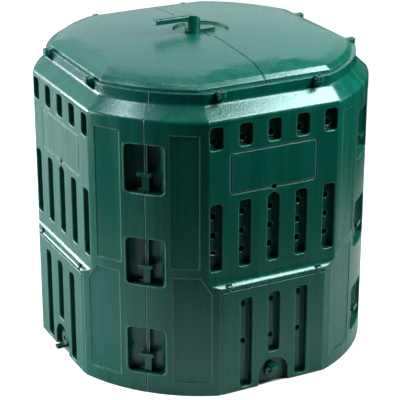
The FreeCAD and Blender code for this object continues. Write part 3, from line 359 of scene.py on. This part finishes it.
# Meshes
def dressed(name, slot, crease=CREASE, edge=0.0):
    """A piece with the true shape of a node, welded and smooth between its creases. Where an edge
    width is given, its level faces are joined and its edges rounded."""
    source = frame["nodes"][name]
    mesh = bpy.data.meshes.new(name + "_dressed")
    form = bmesh.new()
    form.from_mesh(source.data)
    bmesh.ops.remove_doubles(form, verts=form.verts, dist=WELD)
    if edge:
        bmesh.ops.dissolve_limit(form, angle_limit=LEVEL, verts=form.verts, edges=form.edges)
    form.to_mesh(mesh)
    form.free()
    if "custom_normal" in mesh.attributes:
        mesh.attributes.remove(mesh.attributes["custom_normal"])
    piece = bpy.data.objects.new(name + "_shell", mesh)
    bpy.context.scene.collection.objects.link(piece)
    mesh.polygons.foreach_set("use_smooth", [True] * len(mesh.polygons))
    if edge:
        rounding = piece.modifiers.new("rounding", "BEVEL")
        rounding.width = edge
        rounding.segments = EDGE_SEGMENTS
        rounding.limit_method = "ANGLE"
        rounding.angle_limit = math.radians(crease)
        rounding.harden_normals = True
    else:
        mesh.set_sharp_from_angle(angle=math.radians(crease))
    even = piece.modifiers.new("even", "WEIGHTED_NORMAL")
    even.keep_sharp = True
    mesh.materials.clear()
    mesh.materials.append(finish_for(slot))
    return fitted(piece, slot, name)


def fitted(piece, slot, *nodes):
    """The piece stands for its nodes and rides on their body."""
    for body, members in frame["record"]["behaviour"]["bodies"].items():
        if nodes[0] in members:
            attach(piece, body)
    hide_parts(*nodes)
    return piece


# Operators
class BIN_OT_walls(bpy.types.Operator):
    """Dress the four wall panels"""
    bl_idname = "compost_bin.walls"
    bl_label = "Walls"

    def execute(self, context):
        for side in SIDES:
            dressed("wall_" + side, "green_plastic")
        return {"FINISHED"}


class BIN_OT_clips(bpy.types.Operator):
    """Dress the twelve corner clips"""
    bl_idname = "compost_bin.clips"
    bl_label = "Clips"

    def execute(self, context):
        for side in SIDES:
            for row in ROWS:
                dressed("clip_%s_%s" % (side, row), "clip_plastic", edge=CLIP_EDGE)
        return {"FINISHED"}


class BIN_OT_doors(bpy.types.Operator):
    """Dress the four hatch doors"""
    bl_idname = "compost_bin.doors"
    bl_label = "Doors"

    def execute(self, context):
        for side in SIDES:
            dressed("door_" + side, "green_plastic")
        return {"FINISHED"}


class BIN_OT_latches(bpy.types.Operator):
    """Dress the latch knobs, their cams and screws"""
    bl_idname = "compost_bin.latches"
    bl_label = "Latches"

    def execute(self, context):
        for side in SIDES:
            dressed("latch_knob_" + side, "clip_plastic", edge=KNOB_EDGE)
            dressed("latch_cam_" + side, "clip_plastic", edge=INNER_EDGE)
            dressed("latch_screw_" + side, "screw_steel")
        return {"FINISHED"}


class BIN_OT_lid(bpy.types.Operator):
    """Dress the two lid leaves and their hinge pins"""
    bl_idname = "compost_bin.lid"
    bl_label = "Lid"

    def execute(self, context):
        for side in ("left", "right"):
            dressed("lid_" + side, "green_plastic", crease=LID_CREASE)
            for end in ("front", "rear"):
                dressed("lid_pin_%s_%s" % (side, end), "clip_plastic")
        return {"FINISHED"}


class BIN_OT_handle(bpy.types.Operator):
    """Dress the turning handle and its collar"""
    bl_idname = "compost_bin.handle"
    bl_label = "Handle"

    def execute(self, context):
        dressed("lid_handle", "clip_plastic", edge=HANDLE_EDGE)
        dressed("handle_collar", "clip_plastic", edge=INNER_EDGE)
        return {"FINISHED"}


class BIN_OT_stage(bpy.types.Operator):
    """Set up the floor, the light and the camera"""
    bl_idname = "compost_bin.stage"
    bl_label = "Stage"

    def execute(self, context):
        look = context.scene.bin_stage
        self.add_floor(look)
        self.light_room(context, look)
        self.place_camera(context, look)
        context.scene.view_settings.view_transform = "Standard"
        return {"FINISHED"}

    def add_floor(self, look):
        corners = [(x * FLOOR_HALF, y * FLOOR_HALF, 0)
                   for x, y in ((-1, -1), (1, -1), (1, 1), (-1, 1))]
        mesh = bpy.data.meshes.new("floor")
        mesh.from_pydata(corners, [], [(0, 1, 2, 3)])
        floor = bpy.data.objects.new("floor", mesh)
        bpy.context.scene.collection.objects.link(floor)
        mesh.materials.append(self.pale_floor(look))

    def pale_floor(self, look):
        """A matt floor that the camera sees as white outside the bin's footprint, with a painted soft
        shadow round it. Its colour paints a pool of light: pale behind the bin and nearly black in
        front and far to the sides, so that the gloss mirrors that."""
        material, tree = blank("pale_floor")
        place = node(tree, "ShaderNodeNewGeometry", out="Position")
        away = node(tree, "ShaderNodeVectorMath", {"operation": "LENGTH"}, place, out="Value")
        along = part(tree, place, "Y")
        x, y = part(tree, place, "X").maths("ABSOLUTE"), along.maths("ABSOLUTE")
        outside = x.maths("MAXIMUM", y).maths("GREATER_THAN", FOOT_HALF).maths(
            "MAXIMUM", away.maths("GREATER_THAN", FOOT_REACH))
        # Painted shadow: the camera's glow is dimmer near the bin.
        shade = SHADE + smooth_step(tree, away, *SHADE_STEP) * (1 - SHADE)
        camera = seen_rays(tree)[0]
        glow = node(tree, "ShaderNodeEmission", Color=WHITE, Strength=camera * shade * outside)
        # Painted pool of light: the floor colour is pale only in the lit patch behind the bin.
        lit = smooth_step(tree, along, look.lit_edge - look.lit_blur, look.lit_edge + look.lit_blur)
        lit = lit * smooth_step(tree, x, look.lit_half + look.lit_blur, look.lit_half - look.lit_blur)
        matt = node(tree, "ShaderNodeBsdfDiffuse", Color=mixed(tree, lit, DARK_FLOOR, tuple(look.floor)))
        both = node(tree, "ShaderNodeAddShader", None, matt, glow)
        node(tree, "ShaderNodeOutputMaterial", Surface=both)
        return material

    def light_room(self, context, look):
        world = bpy.data.worlds.new("white_room")
        context.scene.world = world
        world.use_nodes = True
        tree = world.node_tree
        tree.nodes.clear()
        towards = node(tree, "ShaderNodeTexCoord", out="Generated")
        x, y, z = [part(tree, towards, axis) for axis in "XYZ"]
        behind = smooth_step(tree, y - x.maths("ABSOLUTE") * WEDGE, *WEDGE_STEP)
        behind = behind * smooth_step(tree, z, *WEDGE_TOP)
        camera, mirror = seen_rays(tree)
        strength = look.sky + camera * (1 - look.sky) + mirror * behind * look.backdrop
        sky = node(tree, "ShaderNodeBackground", Strength=strength,
                   Color=mixed(tree, camera, tuple(look.tint), WHITE))
        node(tree, "ShaderNodeOutputWorld", Surface=sky)
        for name, place, target, size, colour in LAMPS:
            lamp = bpy.data.lights.new(name, "AREA")
            lamp.energy = getattr(look, name)
            lamp.shape = "RECTANGLE"
            lamp.size, lamp.size_y = size
            lamp.color = colour
            self.aimed(bpy.data.objects.new(name, lamp), Vector(place), Vector(target))

    def place_camera(self, context, look):
        lens = bpy.data.cameras.new("camera")
        lens.lens = look.lens
        lens.sensor_width = SENSOR
        lens.shift_x, lens.shift_y = look.shift
        target = Vector((0, 0, look.aim))
        level = look.distance * math.cos(look.elevation)
        away = Vector((level * math.sin(look.azimuth), -level * math.cos(look.azimuth),
                       look.distance * math.sin(look.elevation)))
        context.scene.camera = self.aimed(bpy.data.objects.new("camera", lens), target + away, target)

    def aimed(self, thing, place, target):
        bpy.context.scene.collection.objects.link(thing)
        turn = (target - place).to_track_quat("-Z", "Y").to_matrix().to_4x4()
        thing.matrix_world = Matrix.Translation(place) @ turn
        return thing


STEPS = (BIN_OT_walls, BIN_OT_clips, BIN_OT_doors, BIN_OT_latches, BIN_OT_lid, BIN_OT_handle,
         BIN_OT_stage)


class BIN_PT_panel(bpy.types.Panel):
    """Lists the steps that dress the bin"""
    bl_idname = "BIN_PT_panel"
    bl_label = "Compost bin"
    bl_space_type = "VIEW_3D"
    bl_region_type = "UI"
    bl_category = "Compost bin"

    def draw(self, context):
        for step in STEPS:
            self.layout.operator(step.bl_idname)
        for look in (context.scene.bin_plastic, context.scene.bin_stage):
            for name in look.__annotations__:
                self.layout.prop(look, name)


CLASSES = (PlasticLook, StageLook) + STEPS + (BIN_PT_panel,)


def register():
    for item in CLASSES:
        bpy.utils.register_class(item)
    bpy.types.Scene.bin_plastic = bpy.props.PointerProperty(type=PlasticLook)
    bpy.types.Scene.bin_stage = bpy.props.PointerProperty(type=StageLook)


def unregister():
    del bpy.types.Scene.bin_plastic
    del bpy.types.Scene.bin_stage
    for item in reversed(CLASSES):
        bpy.utils.unregister_class(item)


def main():
    register()
    for step in STEPS:
        group, name = step.bl_idname.split(".")
        getattr(getattr(bpy.ops, group), name)()


if __name__ == "__main__":
    main()
